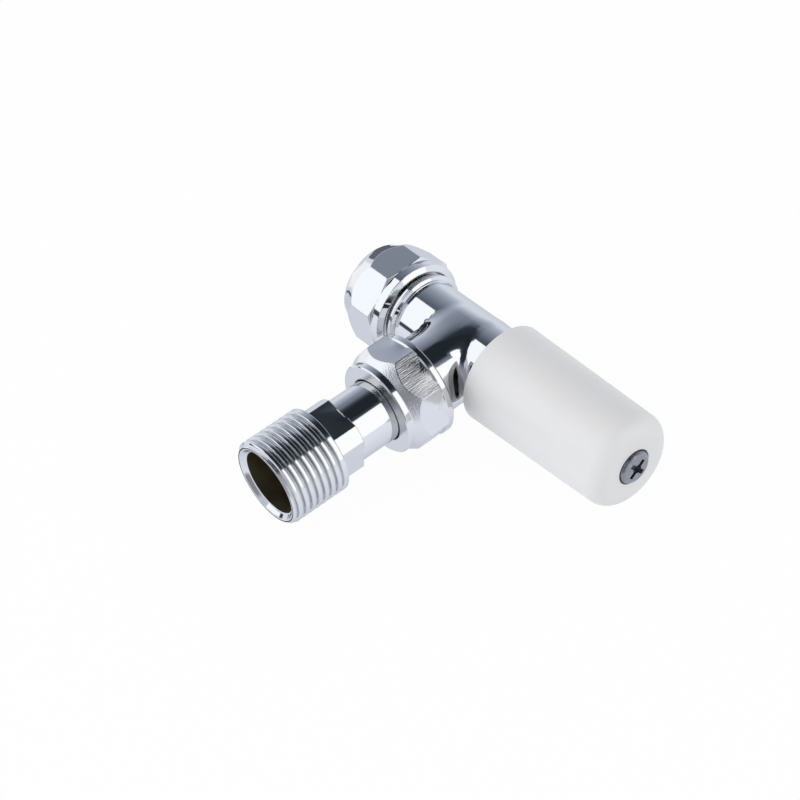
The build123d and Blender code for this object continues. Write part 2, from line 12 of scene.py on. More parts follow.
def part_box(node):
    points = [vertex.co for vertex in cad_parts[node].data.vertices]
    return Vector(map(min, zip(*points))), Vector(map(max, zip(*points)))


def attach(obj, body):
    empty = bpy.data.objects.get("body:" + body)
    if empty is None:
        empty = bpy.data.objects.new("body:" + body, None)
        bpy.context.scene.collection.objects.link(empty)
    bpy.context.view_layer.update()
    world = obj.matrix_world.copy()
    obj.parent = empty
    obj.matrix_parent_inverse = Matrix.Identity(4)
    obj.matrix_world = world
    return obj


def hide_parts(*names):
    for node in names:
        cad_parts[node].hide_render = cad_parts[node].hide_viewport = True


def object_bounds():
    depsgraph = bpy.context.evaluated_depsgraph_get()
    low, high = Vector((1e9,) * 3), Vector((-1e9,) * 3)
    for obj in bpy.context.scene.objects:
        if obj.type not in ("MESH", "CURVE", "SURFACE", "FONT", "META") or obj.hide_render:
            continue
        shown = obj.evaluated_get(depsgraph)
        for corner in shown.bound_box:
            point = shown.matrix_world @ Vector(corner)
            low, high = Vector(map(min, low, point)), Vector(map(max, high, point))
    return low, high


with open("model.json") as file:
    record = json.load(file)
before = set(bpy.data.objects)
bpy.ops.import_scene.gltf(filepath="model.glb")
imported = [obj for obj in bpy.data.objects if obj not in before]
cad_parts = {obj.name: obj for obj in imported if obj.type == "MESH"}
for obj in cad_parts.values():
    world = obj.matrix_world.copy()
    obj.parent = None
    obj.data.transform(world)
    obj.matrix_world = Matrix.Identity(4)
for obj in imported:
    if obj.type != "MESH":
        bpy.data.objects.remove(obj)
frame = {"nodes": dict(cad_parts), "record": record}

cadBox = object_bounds()
scene = bpy.context.scene
scene.view_settings.view_transform = "Standard"
mm = 0.001


def linear(hexColour, alpha=1.0):
    # sRGB hex to the linear values that shaders take
    parts = [int(hexColour[i:i + 2], 16) / 255 for i in (1, 3, 5)]
    return tuple(c / 12.92 if c <= 0.04045 else ((c + 0.055) / 1.055) ** 2.4 for c in parts) + (alpha,)


def addNode(tree, kind, settings=None, inputs=None):
    # one node with its settings; an input is a value or the socket that feeds it
    node = tree.nodes.new(kind)
    for name, value in (settings or {}).items():
        setattr(node, name, value)
    for name, value in (inputs or {}).items():
        if isinstance(value, bpy.types.NodeSocket):
            tree.links.new(value, node.inputs[name])
        else:
            node.inputs[name].default_value = value
    return node


def newMaterial(name):
    # an empty node tree with its output
    material = bpy.data.materials.new(name)
    material.use_nodes = True
    material.node_tree.nodes.clear()
    output = addNode(material.node_tree, "ShaderNodeOutputMaterial")
    return material, material.node_tree, output


def perMetre(size):
    # scale of a pattern whose features are this many mm across
    return 1.0 / (size * mm)


noiseSpan = (0.3, 0.7)  # noise that lies between these covers a look's whole range of roughness
mergeGap = 1e-6  # metres between points that are one


# Camera, fitted to the photo's circles and outlines
camera = {
    "place": (0.211963, -0.329660, 0.305077),  # metres
    "aim": (0.017700, 0.007150, 0.027590),
    "photoUp": (-0.514107, -0.702257, -0.492473),  # the valve lies on its side in the photo
    "lens": 93.715,
    "sensor": 36.0,
    "clip": (0.01, 20.0),  # metres
}


def makeCamera():
    data = bpy.data.cameras.new("photoCamera")
    data.lens = camera["lens"]
    data.sensor_width = camera["sensor"]
    data.clip_start, data.clip_end = camera["clip"]
    obj = bpy.data.objects.new("photoCamera", data)
    scene.collection.objects.link(obj)
    place = Vector(camera["place"])
    back = (place - Vector(camera["aim"])).normalized()
    right = Vector(camera["photoUp"]).cross(back).normalized()
    turn = Matrix((right, back.cross(right), back)).transposed()
    obj.matrix_world = Matrix.Translation(place) @ turn.to_4x4()
    scene.camera = obj


makeCamera()

# Studio: the valve lies on a white table, so up in the studio is the frame's -Y
studio = {
    "up": (0.0, -1.0, 0.0),
    "front": (0.5735, 0.0, 0.8192),  # along the table towards the camera
    "side": (-0.8192, 0.0, 0.5735),  # along the table to the picture's right
    "tableGap": 0.4,  # between the valve's lowest point and the table
    "tableSize": 2600.0,
    "tableColour": "#FFFFFF",
    "tableGlow": 0.96,  # share of the table's white that takes no shadow
    "worldLevel": 0.68,  # light on the valve, where 1 is white
    "shellRadius": 1400.0,
    "shellSplits": 5,
}
up = Vector(studio["up"])
front = Vector(studio["front"])
side = Vector(studio["side"])
middle = (cadBox[0] + cadBox[1]) / 2


def makeTable():
    # one white plane, seen from its upper side only
    half = studio["tableSize"] * mm / 2
    level = cadBox[1].y + studio["tableGap"] * mm
    mesh = bpy.data.meshes.new("table")
    corners = [(-half, level, -half), (-half, level, half), (half, level, half), (half, level, -half)]
    mesh.from_pydata(corners, [], [(3, 2, 1, 0)])
    table = bpy.data.objects.new("table", mesh)
    scene.collection.objects.link(table)
    material, tree, output = newMaterial("matt white table top")
    paint = addNode(tree, "ShaderNodeBsdfDiffuse", inputs={"Color": linear(studio["tableColour"])})
    glow = addNode(tree, "ShaderNodeEmission", inputs={"Color": (1, 1, 1, 1), "Strength": 1.0})
    top = addNode(tree, "ShaderNodeMixShader", inputs={
        0: studio["tableGlow"], 1: paint.outputs[0], 2: glow.outputs[0]})
    clear = addNode(tree, "ShaderNodeBsdfTransparent")
    facing = addNode(tree, "ShaderNodeNewGeometry")
    both = addNode(tree, "ShaderNodeMixShader", inputs={
        0: facing.outputs["Backfacing"], 1: top.outputs[0], 2: clear.outputs[0]})
    tree.links.new(both.outputs[0], output.inputs["Surface"])
    material.cycles.emission_sampling = "NONE"
    mesh.materials.append(material)
    table.visible_diffuse = False
    table.visible_glossy = False
    table.visible_transmission = False
    table.visible_shadow = False


makeTable()


def makeWorld():
    # white to the eye and in gloss, and a plain soft level as light
    world = bpy.data.worlds.new("white studio")
    scene.world = world
    world.use_nodes = True
    tree = world.node_tree
    tree.nodes.clear()
    path = addNode(tree, "ShaderNodeLightPath")
    seen = addNode(tree, "ShaderNodeMath", {"operation": "MAXIMUM"}, {
        0: path.outputs["Is Camera Ray"], 1: path.outputs["Is Glossy Ray"]})
    seen = addNode(tree, "ShaderNodeMath", {"operation": "MAXIMUM"}, {
        0: seen.outputs[0], 1: path.outputs["Is Transmission Ray"]})
    level = addNode(tree, "ShaderNodeMapRange", inputs={
        "Value": seen.outputs[0], "To Min": studio["worldLevel"], "To Max": 1.0})
    sky = addNode(tree, "ShaderNodeBackground", inputs={"Color": (1, 1, 1, 1), "Strength": level.outputs[0]})
    output = addNode(tree, "ShaderNodeOutputWorld")
    tree.links.new(sky.outputs[0], output.inputs["Surface"])


makeWorld()

# What the chrome mirrors, in degrees: azimuth from the table's front to its side, elevation above the table
mirrored = {
    "chrome": 0.66,  # share of the light that chrome gives back
    "gradient": [  # elevation, colour seen in the chrome
        (-90, "#CCD1DD"), (-45, "#D3D7E2"), (-12, "#DBE0EA"), (2, "#D8DEE8"), (10, "#CAD1DD"),
        (17, "#B2B9C8"), (25, "#9EA5B4"), (36, "#868E9C"), (46, "#707886"), (51, "#5E6573"), (55, "#464C58"),
        (60, "#2B3037"), (90, "#1C2024"),
    ],
    "darkWall": {"azimuth": (88, 160), "elevation": (47, 95), "edge": (10.0, 9.0), "colour": "#20252A"},
    "leftHaze": {"azimuth": (-84, -20), "elevation": (-8, 59), "edge": (10.0, 5.0), "colour": "#B6BCC8"},
    "cameraSide": {"azimuth": (-50, 4), "elevation": (-20, 46), "edge": (14.0, 12.0), "colour": "#85848C"},
    "sill": {"azimuth": (-145, -136), "elevation": (-25, -22), "edge": (1.5, 1.0), "colour": "#5C6172"},
    "whiteWall": {"azimuth": (-157, -136), "elevation": (-18, 2), "edge": (2.5, 2.5), "colour": "#F8FAFE"},
    "leftGap": {"azimuth": (-125, -80), "elevation": (-3.5, 6), "edge": (5.0, 2.0), "colour": "#3C424D"},
    "leftBox": {"azimuth": (-145.5, -76), "elevation": (6, 57), "edge": (2.5, 3.0), "colour": "#F4F8FF"},
    "rightBox": {"azimuth": (49, 78.5), "elevation": (-3, 54), "edge": (1.2, 3.0), "colour": "#FCFDFF"},
}
panelOrder = (  # each is laid over those before it
    "darkWall", "leftHaze", "cameraSide", "sill", "whiteWall", "leftGap", "leftBox", "rightBox")


def panelMask(tree, azimuth, elevation, panel):
    # 1 inside the panel's window of angles, 0 outside, soft at its edge
    mask = None
    spans = (panel["azimuth"], panel["elevation"])
    for angle, (low, high), edge in zip((azimuth, elevation), spans, panel["edge"]):
        rise = addNode(tree, "ShaderNodeMapRange", {"interpolation_type": "SMOOTHSTEP"}, {
            "Value": angle, "From Min": low - edge / 2, "From Max": low + edge / 2})
        fall = addNode(tree, "ShaderNodeMapRange", {"interpolation_type": "SMOOTHSTEP"}, {
            "Value": angle, "From Min": high + edge / 2, "From Max": high - edge / 2})
        both = addNode(tree, "ShaderNodeMath", {"operation": "MULTIPLY"}, {
            0: rise.outputs[0], 1: fall.outputs[0]})
        if mask is not None:
            both = addNode(tree, "ShaderNodeMath", {"operation": "MULTIPLY"}, {
                0: mask, 1: both.outputs[0]})
        mask = both.outputs[0]
    return mask


def makeShell():
    # soft boxes, grey wall and dark ceiling, as one shell that only gloss sees
    mesh = bpy.data.meshes.new("studioShell")
    shape = bmesh.new()
    bmesh.ops.create_icosphere(shape, subdivisions=studio["shellSplits"], radius=studio["shellRadius"] * mm)
    shape.to_mesh(mesh)
    shape.free()
    shell = bpy.data.objects.new("studioShell", mesh)
    shell.location = middle
    scene.collection.objects.link(shell)
    material, tree, output = newMaterial("soft boxes and dark ceiling")
    spot = addNode(tree, "ShaderNodeTexCoord")
    ray = addNode(tree, "ShaderNodeVectorMath", {"operation": "NORMALIZE"}, {0: spot.outputs["Object"]})
    height, ahead, aside = (
        addNode(tree, "ShaderNodeVectorMath", {"operation": "DOT_PRODUCT"}, {
            0: ray.outputs[0], 1: axis}).outputs["Value"]
        for axis in (up, front, side))
    slope = addNode(tree, "ShaderNodeMath", {"operation": "ARCSINE"}, {0: height})
    elevation = addNode(tree, "ShaderNodeMath", {"operation": "DEGREES"}, {0: slope.outputs[0]}).outputs[0]
    around = addNode(tree, "ShaderNodeMath", {"operation": "ARCTAN2"}, {0: aside, 1: ahead})
    azimuth = addNode(tree, "ShaderNodeMath", {"operation": "DEGREES"}, {0: around.outputs[0]}).outputs[0]
    share = addNode(tree, "ShaderNodeMapRange", inputs={
        "Value": elevation, "From Min": -90.0, "From Max": 90.0})
    ramp = addNode(tree, "ShaderNodeValToRGB", inputs={0: share.outputs[0]})
    steps = mirrored["gradient"]
    while len(ramp.color_ramp.elements) < len(steps):
        ramp.color_ramp.elements.new(0.5)
    for element, (angle, colour) in zip(ramp.color_ramp.elements, steps):
        element.position = (angle + 90) / 180
        element.color = linear(colour)
    colour = ramp.outputs[0]
    for name in panelOrder:
        mask = panelMask(tree, azimuth, elevation, mirrored[name])
        colour = addNode(tree, "ShaderNodeMix", {"data_type": "RGBA"}, {
            "Factor": mask, 6: colour, 7: linear(mirrored[name]["colour"])}).outputs[2]
    light = addNode(tree, "ShaderNodeEmission", inputs={"Color": colour, "Strength": 1 / mirrored["chrome"]})
    tree.links.new(light.outputs[0], output.inputs["Surface"])
    material.cycles.emission_sampling = "NONE"
    mesh.materials.append(material)
    shell.visible_camera = False
    shell.visible_diffuse = False
    shell.visible_transmission = False
    shell.visible_shadow = False


makeShell()

# A dark card by the inlet nut, that its coned face mirrors
card = {
    "place": (-42.0, 9.0, -72.0),
    "aim": (-2.0, -11.0, 3.0),
    "width": 46.0,
    "height": 46.0,
    "colour": "#64686F",
}


def makeCard():
    mesh = bpy.data.meshes.new("darkCard")
    place = Vector(card["place"]) * mm
    across = Vector(card["aim"]) * mm - place
    across = across.cross(up).normalized() * card["width"] * mm / 2
    high = up * card["height"] * mm / 2
    corners = [place - across - high, place + across - high, place + across + high, place - across + high]
    mesh.from_pydata(corners, [], [(0, 1, 2, 3)])
    piece = bpy.data.objects.new("darkCard", mesh)
    scene.collection.objects.link(piece)
    material, tree, output = newMaterial("dark card")
    light = addNode(tree, "ShaderNodeEmission", inputs={
        "Color": linear(card["colour"]), "Strength": 1 / mirrored["chrome"]})
    tree.links.new(light.outputs[0], output.inputs["Surface"])
    material.cycles.emission_sampling = "NONE"
    mesh.materials.append(material)
    piece.visible_camera = False
    piece.visible_diffuse = False
    piece.visible_transmission = False
    piece.visible_shadow = False


makeCard()

# Lamps: two soft boxes that give the plastic its light and shade
lamps = {
    "keyLamp": {"azimuth": 42, "elevation": 26, "distance": 900.0, "size": 500.0, "watts": 1.6},
    "fillLamp": {"azimuth": -80, "elevation": 15, "distance": 900.0, "size": 500.0, "watts": 3.1},
}


def makeLamps():
    for name, lamp in lamps.items():
        data = bpy.data.lights.new(name, "AREA")
        data.size = lamp["size"] * mm
        data.energy = lamp["watts"]
        obj = bpy.data.objects.new(name, data)
        scene.collection.objects.link(obj)
        azimuth = radians(lamp["azimuth"])
        elevation = radians(lamp["elevation"])
        away = cos(elevation) * (cos(azimuth) * front + sin(azimuth) * side) + sin(elevation) * up
        obj.location = middle + away * lamp["distance"] * mm
        obj.rotation_mode = "QUATERNION"
        obj.rotation_quaternion = away.to_track_quat("Z", "Y")
        obj.visible_glossy = False


makeLamps()
print("camera, table, world, studio shell and lamps made")


# Chrome plate on brass: near-mirror, with the soft waves that polishing leaves under the plate
chromeLook = {
    "colour": "#D4D4D4",
    "edgeTint": "#DADADA",  # at grazing angles
    "edge": 0.3,  # radius that polishing leaves on corners
    "edgeSamples": 6,
    "roughness": (0.035, 0.07),
    "cloud": 3.0,  # size of the patches that polish differently
    "wave": 5.0,
    "waveHeight": 0.0035,
    "pit": 0.5,
    "pitHeight": 0.00006,
}


def chromeShader(tree, output, look, extraBump=None):
    spot = addNode(tree, "ShaderNodeTexCoord").outputs["Object"]
    cloud = addNode(tree, "ShaderNodeTexNoise", inputs={
        "Vector": spot, "Scale": perMetre(look["cloud"]), "Detail": 3.0})
    rough = addNode(tree, "ShaderNodeMapRange", inputs={
        "Value": cloud.outputs[0], "From Min": noiseSpan[0], "From Max": noiseSpan[1],
        "To Min": look["roughness"][0], "To Max": look["roughness"][1]})
    wave = addNode(tree, "ShaderNodeTexNoise", inputs={
        "Vector": spot, "Scale": perMetre(look["wave"]), "Detail": 1.0})
    corner = addNode(tree, "ShaderNodeBevel", {"samples": look["edgeSamples"]}, {
        "Radius": look["edge"] * mm})
    waves = addNode(tree, "ShaderNodeBump", inputs={
        "Height": wave.outputs[0], "Strength": 1.0, "Distance": look["waveHeight"] * mm,
        "Normal": corner.outputs[0]})
    pit = addNode(tree, "ShaderNodeTexNoise", inputs={
        "Vector": spot, "Scale": perMetre(look["pit"]), "Detail": 2.0})
    surface = addNode(tree, "ShaderNodeBump", inputs={
        "Height": pit.outputs[0], "Strength": 1.0, "Distance": look["pitHeight"] * mm,
        "Normal": waves.outputs[0]})
    if extraBump is not None:
        surface = extraBump(tree, spot, surface.outputs[0])
    metal = addNode(tree, "ShaderNodeBsdfPrincipled", inputs={
        "Base Color": linear(look["colour"]), "Metallic": 1.0, "Roughness": rough.outputs[0],
        "Specular Tint": linear(look["edgeTint"]), "Normal": surface.outputs[0]})
    tree.links.new(metal.outputs[0], output.inputs["Surface"])


def makeChrome():
    material, tree, output = newMaterial("polished chrome plate")
    chromeShader(tree, output, chromeLook)
    return material


# Chrome over milled flats: the cutter's lines show through the plate, along the nut. They are drawn as wide
# and deep as they need to be to show at the render's size.
milledLook = dict(
    chromeLook, edge=0.45, roughness=(0.17, 0.25), waveHeight=0.001,
    lineWidth=0.22, lineLength=3.0, lineHeight=0.05)
milledSoftLook = dict(milledLook, roughness=(0.06, 0.1), lineHeight=0.003)
milledFineLook = dict(milledLook, roughness=(0.05, 0.1), lineHeight=0.0014)


def makeMilledChrome(name, along, look):
    # along is the axis that the lines run with: 0 for X, 2 for Z
    def milledLines(tree, spot, normal):
        scale = [perMetre(look["lineWidth"])] * 3
        scale[along] = perMetre(look["lineLength"])
        stretch = addNode(tree, "ShaderNodeMapping", inputs={"Vector": spot, "Scale": scale})
        line = addNode(tree, "ShaderNodeTexNoise", inputs={
            "Vector": stretch.outputs[0], "Scale": 1.0, "Detail": 2.0})
        return addNode(tree, "ShaderNodeBump", inputs={
            "Height": line.outputs[0], "Strength": 1.0, "Distance": look["lineHeight"] * mm,
            "Normal": normal})

    material, tree, output = newMaterial(name)
    chromeShader(tree, output, look, milledLines)
    return material


# Chrome over a turned cone: tool chatter breaks the mirror into specks, as coarse as they need to be to show
turnedLook = dict(chromeLook, edge=0.45, roughness=(0.09, 0.16), speck=0.26, speckHeight=0.045)


def makeTurnedChrome():
    def specks(tree, spot, normal):
        speck = addNode(tree, "ShaderNodeTexNoise", inputs={
            "Vector": spot, "Scale": perMetre(turnedLook["speck"]), "Detail": 1.0})
        return addNode(tree, "ShaderNodeBump", inputs={
            "Height": speck.outputs[0], "Strength": 1.0, "Distance": turnedLook["speckHeight"] * mm,
            "Normal": normal})

    material, tree, output = newMaterial("turned chrome plate")
    chromeShader(tree, output, turnedLook, specks)
    return material


# Unplated bores: brass dulled by cutting oil
boreLook = {
    "colour": "#857B60", "roughness": (0.38, 0.55), "stain": 4.0, "grain": 0.6, "grainHeight": 0.004,
}
# Turned brass, bright
brassLook = {
    "colour": "#C8A765", "roughness": (0.24, 0.38), "stain": 4.0, "grain": 0.5, "grainHeight": 0.003,
}


def makeBrass(name, look):
    material, tree, output = newMaterial(name)
    spot = addNode(tree, "ShaderNodeTexCoord").outputs["Object"]
    stain = addNode(tree, "ShaderNodeTexNoise", inputs={
        "Vector": spot, "Scale": perMetre(look["stain"]), "Detail": 4.0})
    rough = addNode(tree, "ShaderNodeMapRange", inputs={
        "Value": stain.outputs[0], "From Min": noiseSpan[0], "From Max": noiseSpan[1],
        "To Min": look["roughness"][0], "To Max": look["roughness"][1]})
    grain = addNode(tree, "ShaderNodeTexNoise", inputs={
        "Vector": spot, "Scale": perMetre(look["grain"]), "Detail": 2.0})
    surface = addNode(tree, "ShaderNodeBump", inputs={
        "Height": grain.outputs[0], "Strength": 1.0, "Distance": look["grainHeight"] * mm})
    metal = addNode(tree, "ShaderNodeBsdfPrincipled", inputs={
        "Base Color": linear(look["colour"]), "Metallic": 1.0, "Roughness": rough.outputs[0],
        "Normal": surface.outputs[0]})
    tree.links.new(metal.outputs[0], output.inputs["Surface"])
    return material


# White ABS, moulded: satin, with the faint grain of a spark-eroded tool
plasticLook = {
    "colour": "#EAEAEB",
    "shade": "#E5E5E6",
    "flow": 14.0,  # size of the patches that cooled differently
    "roughness": (0.34, 0.42),
    "ior": 1.54,
    "grain": 0.35,
    "grainHeight": 0.0016,
}


def makePlastic():
    material, tree, output = newMaterial("white moulded ABS")
    spot = addNode(tree, "ShaderNodeTexCoord").outputs["Object"]
    flow = addNode(tree, "ShaderNodeTexNoise", inputs={
        "Vector": spot, "Scale": perMetre(plasticLook["flow"]), "Detail": 2.0})
    colour = addNode(tree, "ShaderNodeMix", {"data_type": "RGBA"}, {
        "Factor": flow.outputs[0], 6: linear(plasticLook["colour"]), 7: linear(plasticLook["shade"])})
    rough = addNode(tree, "ShaderNodeMapRange", inputs={
        "Value": flow.outputs[0], "From Min": noiseSpan[0], "From Max": noiseSpan[1],
        "To Min": plasticLook["roughness"][0], "To Max": plasticLook["roughness"][1]})
    grain = addNode(tree, "ShaderNodeTexNoise", inputs={
        "Vector": spot, "Scale": perMetre(plasticLook["grain"]), "Detail": 2.0})
    surface = addNode(tree, "ShaderNodeBump", inputs={
        "Height": grain.outputs[0], "Strength": 1.0, "Distance": plasticLook["grainHeight"] * mm})
    plastic = addNode(tree, "ShaderNodeBsdfPrincipled", inputs={
        "Base Color": colour.outputs[2], "Roughness": rough.outputs[0], "IOR": plasticLook["ior"],
        "Normal": surface.outputs[0]})
    tree.links.new(plastic.outputs[0], output.inputs["Surface"])
    return material


# Zinc-plated steel: grey, with the mottle of the bath
steelLook = {
    "colour": "#A6A7A9",
    "shade": "#6C6E71",
    "roughness": (0.26, 0.42),
    "mottle": 0.5,
    "mottleHeight": 0.02,
}


def makeSteel():
    material, tree, output = newMaterial("zinc plated steel")
    spot = addNode(tree, "ShaderNodeTexCoord").outputs["Object"]
    mottle = addNode(tree, "ShaderNodeTexNoise", inputs={
        "Vector": spot, "Scale": perMetre(steelLook["mottle"]), "Detail": 3.0})
    colour = addNode(tree, "ShaderNodeMix", {"data_type": "RGBA"}, {
        "Factor": mottle.outputs[0], 6: linear(steelLook["colour"]), 7: linear(steelLook["shade"])})
    rough = addNode(tree, "ShaderNodeMapRange", inputs={
        "Value": mottle.outputs[0], "From Min": noiseSpan[0], "From Max": noiseSpan[1],
        "To Min": steelLook["roughness"][0], "To Max": steelLook["roughness"][1]})
    surface = addNode(tree, "ShaderNodeBump", inputs={
        "Height": mottle.outputs[0], "Strength": 1.0, "Distance": steelLook["mottleHeight"] * mm})
    metal = addNode(tree, "ShaderNodeBsdfPrincipled", inputs={
        "Base Color": colour.outputs[2], "Metallic": 1.0, "Roughness": rough.outputs[0],
        "Normal": surface.outputs[0]})
    tree.links.new(metal.outputs[0], output.inputs["Surface"])
    return material


# Seals and packing: dull, each with its own grain
softLooks = {
    "nitrile rubber": {
        "colour": "#191A1B", "shade": "#242526", "roughness": 0.62, "ior": 1.52, "grain": 0.25},
    "vulcanised fibre": {
        "colour": "#7E2A22", "shade": "#94402F", "roughness": 0.75, "ior": 1.5, "grain": 0.18},
    "graphited yarn": {
        "colour": "#2B2C2E", "shade": "#3A3B3D", "roughness": 0.5, "ior": 1.6, "grain": 0.45},
}
softBump = {"strength": 0.6, "parts": 12}  # the grain's height is its size divided by parts


def makeSoft(name):
    look = softLooks[name]
    material, tree, output = newMaterial(name)
    spot = addNode(tree, "ShaderNodeTexCoord").outputs["Object"]
    grain = addNode(tree, "ShaderNodeTexNoise", inputs={
        "Vector": spot, "Scale": perMetre(look["grain"]), "Detail": 3.0})
    colour = addNode(tree, "ShaderNodeMix", {"data_type": "RGBA"}, {
        "Factor": grain.outputs[0], 6: linear(look["colour"]), 7: linear(look["shade"])})
    surface = addNode(tree, "ShaderNodeBump", inputs={
        "Height": grain.outputs[0], "Strength": softBump["strength"],
        "Distance": look["grain"] * mm / softBump["parts"]})
    skin = addNode(tree, "ShaderNodeBsdfPrincipled", inputs={
        "Base Color": colour.outputs[2], "Roughness": look["roughness"], "IOR": look["ior"],
        "Normal": surface.outputs[0]})
    tree.links.new(skin.outputs[0], output.inputs["Surface"])
    return material


chrome = makeChrome()
milledAlongTail = makeMilledChrome("milled chrome plate, lines along the tail", 0, milledLook)
milledSoft = makeMilledChrome("milled chrome plate, faint lines along the tail", 0, milledSoftLook)
milledFine = makeMilledChrome("milled chrome plate, fine lines up the spindle", 2, milledFineLook)
turnedChrome = makeTurnedChrome()
boreBrass = makeBrass("oiled brass bore", boreLook)
brass = makeBrass("turned brass", brassLook)
plastic = makePlastic()
steel = makeSteel()
rubber = makeSoft("nitrile rubber")
fibre = makeSoft("vulcanised fibre")
yarn = makeSoft("graphited yarn")
print("materials made:", len(bpy.data.materials))


# Smooth copies: a mirror finish needs one welded skin, where the CAD node's mesh is loose triangles
weld = {
    "distance": 0.0006,
    "sharpAngle": 14.0,  # degrees; an edge that bends more stays sharp
}


def weldedCopy(node, name, materials, cut=None):
    # cut is a point on a plane across X, where long triangles are split
    mesh = frame["nodes"][node].data.copy()
    mesh.name = name
    mesh.materials.clear()
    for material in materials:
        mesh.materials.append(material)
    shape = bmesh.new()
    shape.from_mesh(mesh)
    bmesh.ops.remove_doubles(shape, verts=shape.verts, dist=weld["distance"] * mm)
    if cut is not None:
        everything = list(shape.verts) + list(shape.edges) + list(shape.faces)
        bmesh.ops.bisect_plane(shape, geom=everything, plane_co=Vector(cut) * mm, plane_no=(1, 0, 0))
    for face in shape.faces:
        face.material_index = 0
        face.smooth = True
    shape.to_mesh(mesh)
    shape.free()
    if "custom_normal" in mesh.attributes:
        mesh.attributes.remove(mesh.attributes["custom_normal"])
    mesh.set_sharp_from_angle(angle=radians(weld["sharpAngle"]))
    piece = bpy.data.objects.new(name, mesh)
    scene.collection.objects.link(piece)
    return piece


def finishPiece(piece, node):
    # the piece moves with its node's body and stands for the node
    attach(piece, bodyOf[node])
    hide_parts(node)


def paintFaces(piece, index, rule):
    # gives a material slot to each face whose centre and normal meet the rule, in mm
    for face in piece.data.polygons:
        if rule(face.center / mm, face.normal):
            face.material_index = index


bodyOf = {node: body for body, nodes in frame["record"]["behaviour"]["bodies"].items() for node in nodes}

# Pipe threads, Whitworth form: half-inch, 14 threads to the inch
thread = {
    "pitch": 1.814,
    "crest": 10.4775,
    "depth": 0.95,
    "land": 0.42,  # share of the pitch that stays flat on the crest, as plate fills the form
    "root": 0.06,  # and of the pitch that is flat in the root
    "core": 9.28,  # plain core under the thread's root
    "margin": 0.1,  # the grid runs this far past both ends, to close them
    "endRadius": 9.5775,  # where an open end's chamfer starts, below the root
    "backRadius": 9.9,  # and the chamfer behind the last groove
    "backSlope": 1.155,
    "noFade": (-1.0, -0.5),  # the groove runs at full depth from the start
    "slack": 0.01,  # points this near an end still count as inside
    "keep": 0.3,  # the plain cylinder stays this far in front of its shoulder
    "rowsPerPitch": 24,
    "columns": 132,
}
centreHeight = (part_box("union_tail")[0].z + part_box("union_tail")[1].z) / 2 / mm
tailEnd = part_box("union_tail")[1].x / mm


# Each step names its result, the operation and its terms: inputs, x and y on the grid, numbers or results
threadSteps = (
    ("raw", "MULTIPLY_ADD", "Length", 0.5, "x"),
    ("inside", "MAXIMUM", "raw", 0.0),
    ("along", "MINIMUM", "inside", "Length"),
    ("angle", "MULTIPLY", "y", 2 * pi),
    ("turns", "DIVIDE", "along", thread["pitch"]),
    ("shift", "ADD", "y", "Turn"),
    ("phase", "SUBTRACT", "turns", "shift"),
    ("share", "FRACT", "phase"),
    ("centred", "MULTIPLY_ADD", "share", 2.0, -1.0),
    ("fromRoot", "ABSOLUTE", "centred"),
    ("groove", "SMOOTHSTEP", "fromRoot", 1 - thread["land"], thread["root"]),
    ("fade", "SMOOTHSTEP", "along", "Fade From", "Fade To"),
    ("faded", "MULTIPLY", "groove", "fade"),
    ("cut", "MULTIPLY", "faded", thread["depth"]),
    ("helix", "SUBTRACT", thread["crest"], "cut"),
    ("startCone", "MULTIPLY_ADD", "along", "Start Slope", "Start Radius"),
    ("toEnd", "SUBTRACT", "Length", "along"),
    ("endCone", "MULTIPLY_ADD", "toEnd", "End Slope", "End Radius"),
    ("cones", "MINIMUM", "startCone", "endCone"),
    ("radius", "MINIMUM", "helix", "cones"),
    ("before", "LESS_THAN", "raw", -thread["margin"] / 2),
    ("endLimit", "ADD", "Length", thread["margin"] / 2),
    ("after", "GREATER_THAN", "raw", "endLimit"),
    ("outside", "MAXIMUM", "before", "after"),
    ("drop", "SUBTRACT", thread["core"], "radius"),
    ("closed", "MULTIPLY_ADD", "outside", "drop", "radius"),
    ("cosine", "COSINE", "angle"),
    ("sine", "SINE", "angle"),
    ("across", "MULTIPLY", "closed", "cosine"),
    ("high", "MULTIPLY", "closed", "sine"),
)


